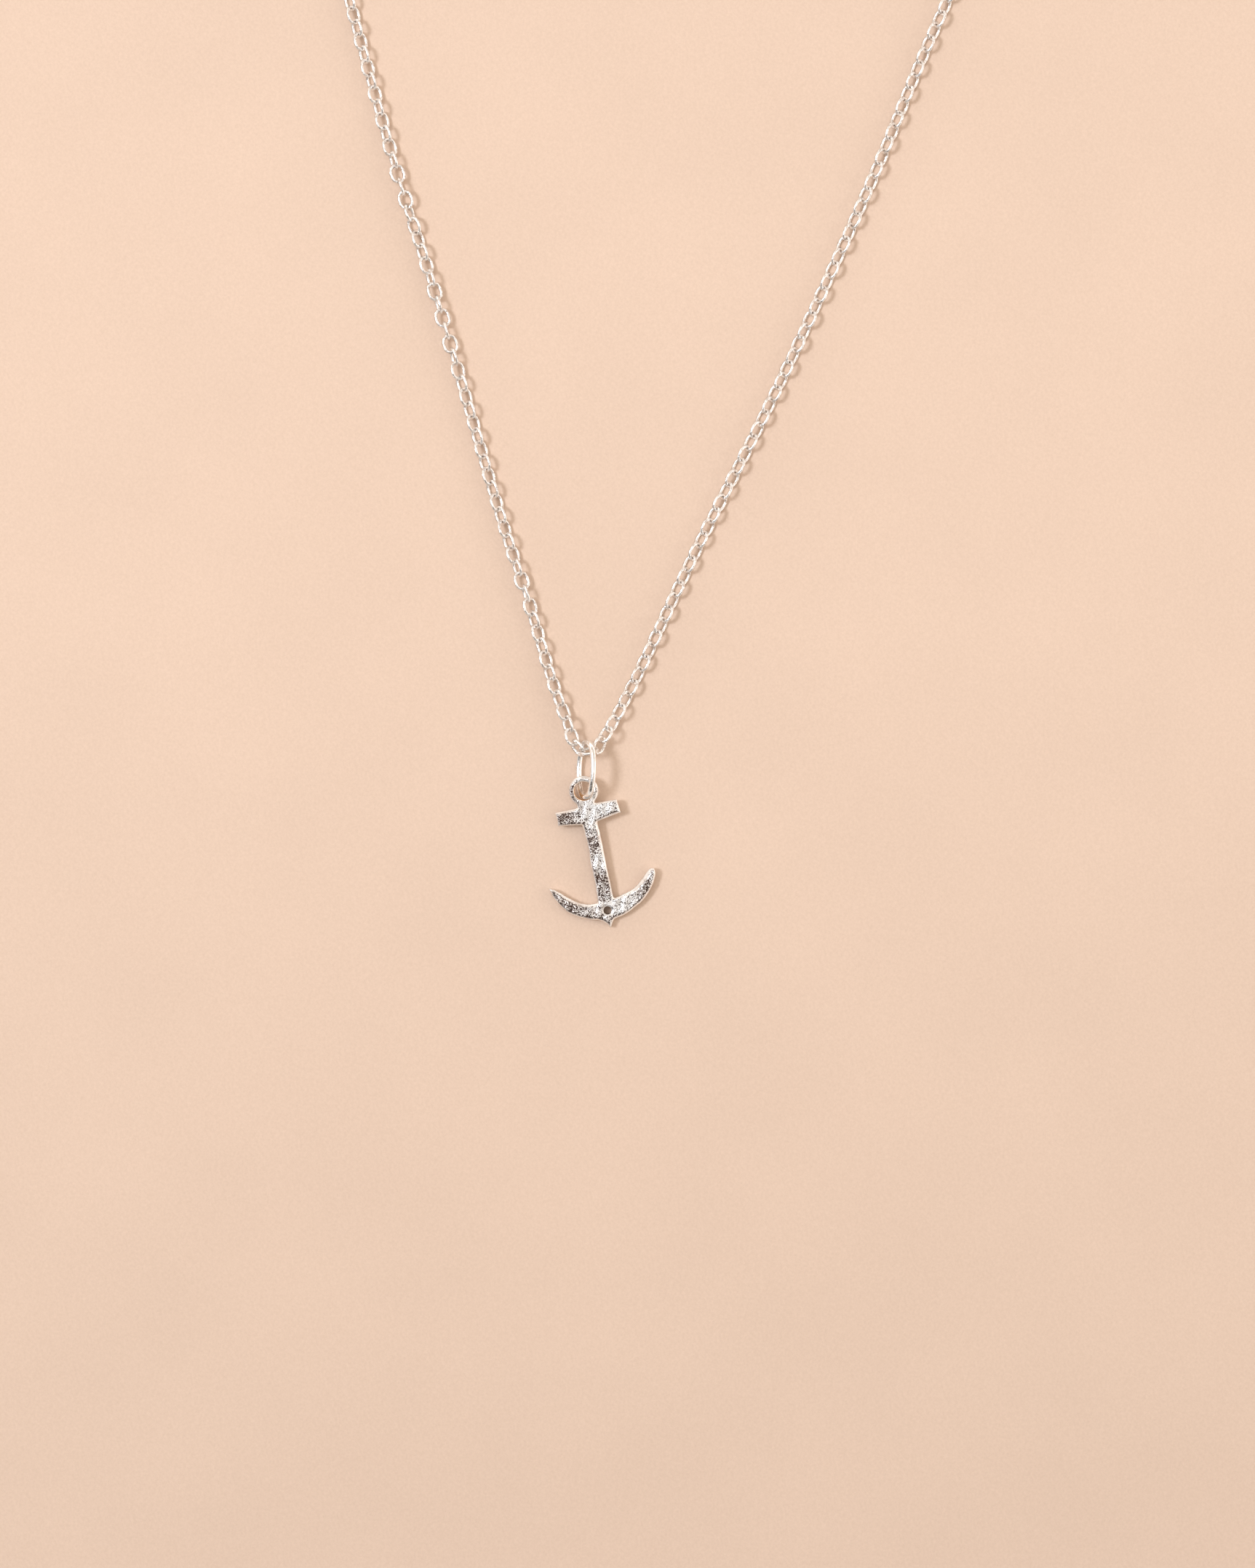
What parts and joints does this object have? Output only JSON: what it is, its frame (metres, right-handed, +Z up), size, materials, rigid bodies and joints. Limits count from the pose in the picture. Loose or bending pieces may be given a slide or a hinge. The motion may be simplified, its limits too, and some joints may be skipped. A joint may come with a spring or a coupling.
{
  "type": "anchor pendant necklace",
  "caption": "Silver necklace lying flat: a small anchor pendant on an oval jump ring, on a fine closed cable chain with a plain ring clasp.",
  "frame": {"origin": "on the surface that the necklace lies on, under the middle of its bounding box", "axes": "+Z up from the surface, +Y from the pendant towards the clasp along the necklace's length, +X across it to the right as seen from above"},
  "size_m": [0.0906, 0.1904, 0.0046],
  "materials": {
    "cast_silver": "grainy blasted face with bright polished bevels",
    "polished_silver": "polished"
  },
  "bodies": {
    "root": {"anchor": "cast_silver", "jump_ring": "polished_silver", "chain": "polished_silver", "clasp": "polished_silver"}
  },
  "joints": []
}
